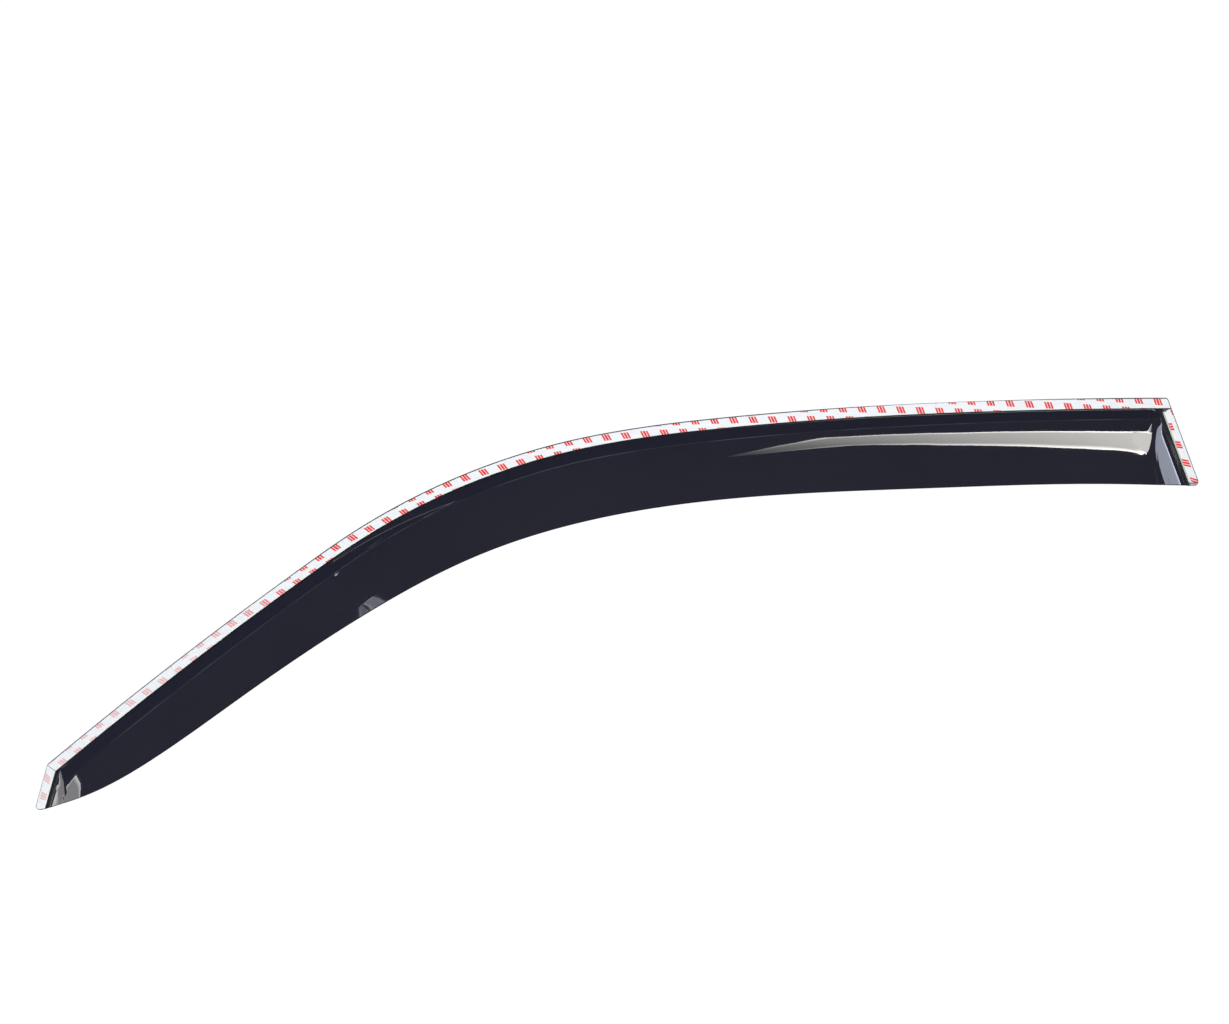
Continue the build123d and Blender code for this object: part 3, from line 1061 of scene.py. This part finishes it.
def pale_floor(level):
    """Round floor: rings about the middle, fading out at the rim."""
    radius, fade_start, fade_stop = 2.2, 1.2, 2.15
    rings, spokes = np.linspace(0.0, radius, 24), np.linspace(0.0, 2 * np.pi, 97)[:-1]
    ring, spoke = np.meshgrid(rings, spokes, indexing="ij")
    points = np.stack([ring * np.cos(spoke), ring * np.sin(spoke), np.full(ring.shape, level)], axis=-1)
    number = np.arange(ring.size).reshape(ring.shape)
    number = np.concatenate([number, number[:, :1]], axis=1)
    floor = mesh_object("floor", points.reshape(-1, 3), quads(number))
    material, tree, shader = new_material("pale_floor")
    flat = stretched(tree, new_node(tree, "TexCoord", {})["Object"], (1.0, 1.0, 0.0))
    span = new_node(tree, "VectorMath", {0: flat}, operation="LENGTH")["Value"]
    shown = ramp(tree, span, fade_start, fade_stop, 1.0, 0.0)
    feed(tree, shader, {"Base Color": (0.86, 0.87, 0.88, 1.0), "Roughness": 0.9, "Alpha": shown})
    feed(tree, shader, {"Emission Color": rgba(PURE_WHITE), "Emission Strength": 0.7})
    floor.data.materials.append(material)
    floor.visible_glossy = False


def white_surround():
    """World that is plain white to the camera, and to the object a soft sky, brighter overhead."""
    world = bpy.data.worlds.new("studio")
    bpy.context.scene.world = world
    world.use_nodes = True
    tree = world.node_tree
    tree.nodes.clear()
    height = split(tree, new_node(tree, "TexCoord", {})["Generated"])["Z"]
    bright = ramp(tree, height, -0.1, 0.9, 0.05, 0.6)
    sky = new_node(tree, "Background", {"Color": (0.9, 0.95, 1.0, 1.0), "Strength": bright})[0]
    sheet = new_node(tree, "Background", {"Color": rgba(PURE_WHITE), "Strength": 1.02})[0]
    seen = new_node(tree, "LightPath", {})["Is Camera Ray"]
    new_node(tree, "OutputWorld", {"Surface": blend_shader(tree, seen, sky, sheet)})


def place_camera(studio):
    """Camera square to the bonding face: its lens is the sensor's width times distance over picture width."""
    camera = bpy.data.cameras.new("camera")
    camera.sensor_width = 36.0
    camera.lens = camera.sensor_width * studio.camera_distance / studio.picture_width
    camera.clip_end = 50.0
    eye = bpy.data.objects.new("camera", camera)
    bpy.context.scene.collection.objects.link(eye)
    eye.location = (studio.aim_x, -studio.camera_distance, studio.aim_z)
    eye.rotation_euler = (math.pi / 2, 0.0, 0.0)
    bpy.context.scene.camera = eye


class DEFLECTOR_OT_studio(bpy.types.Operator):
    """Sets the floor, the light and the camera"""

    bl_idname = "deflector.studio"
    bl_label = "Studio"

    def execute(self, context):
        studio = context.scene.studio_form
        pale_floor(studio.floor_level)
        white_surround()
        aim = (0.0, 0.0, -0.1)
        soft_light("key", (0.0, -1.5, 1.6), aim, (1.6, 1.0), studio.key_power, True)
        soft_light("back", (0.5, 1.7, 1.5), aim, (1.8, 0.8), 0.5 * studio.key_power, False)
        for name, card in CARDS.items():
            gloss_card(name, card, studio.card_strength)
        place_camera(studio)
        context.scene.view_settings.view_transform = "Standard"
        return {"FINISHED"}


class DEFLECTOR_PT_panel(bpy.types.Panel):
    """Lists the deflector's pieces and their sizes"""

    bl_idname = "DEFLECTOR_PT_panel"
    bl_label = "Rain deflector"
    bl_space_type = "VIEW_3D"
    bl_region_type = "UI"
    bl_category = "Deflector"

    def draw(self, context):
        for operator in OPERATORS:
            self.layout.operator(operator.bl_idname)
        for group in GROUPS:
            box = self.layout.box()
            values = getattr(context.scene, group)
            for name in values.__annotations__:
                box.prop(values, name)


GROUPS = {
    "visor_form": VisorForm,
    "tape_form": TapeForm,
    "deflector_finish": DeflectorFinish,
    "studio_form": StudioForm,
}
OPERATORS = (DEFLECTOR_OT_visor, DEFLECTOR_OT_tapes, DEFLECTOR_OT_liners, DEFLECTOR_OT_studio)
CLASSES = (*GROUPS.values(), *OPERATORS, DEFLECTOR_PT_panel)


def register():
    """Registers the classes, and the scene's values."""
    for kind in CLASSES:
        bpy.utils.register_class(kind)
    for name, kind in GROUPS.items():
        setattr(bpy.types.Scene, name, bpy.props.PointerProperty(type=kind))


def unregister():
    """Takes the scene's values and the classes away again."""
    for name in GROUPS:
        delattr(bpy.types.Scene, name)
    for kind in reversed(CLASSES):
        bpy.utils.unregister_class(kind)


def main():
    """Builds the scene."""
    register()
    bpy.ops.deflector.visor()
    bpy.ops.deflector.tapes()
    bpy.ops.deflector.liners()
    bpy.ops.deflector.studio()


if __name__ == "__main__":
    main()
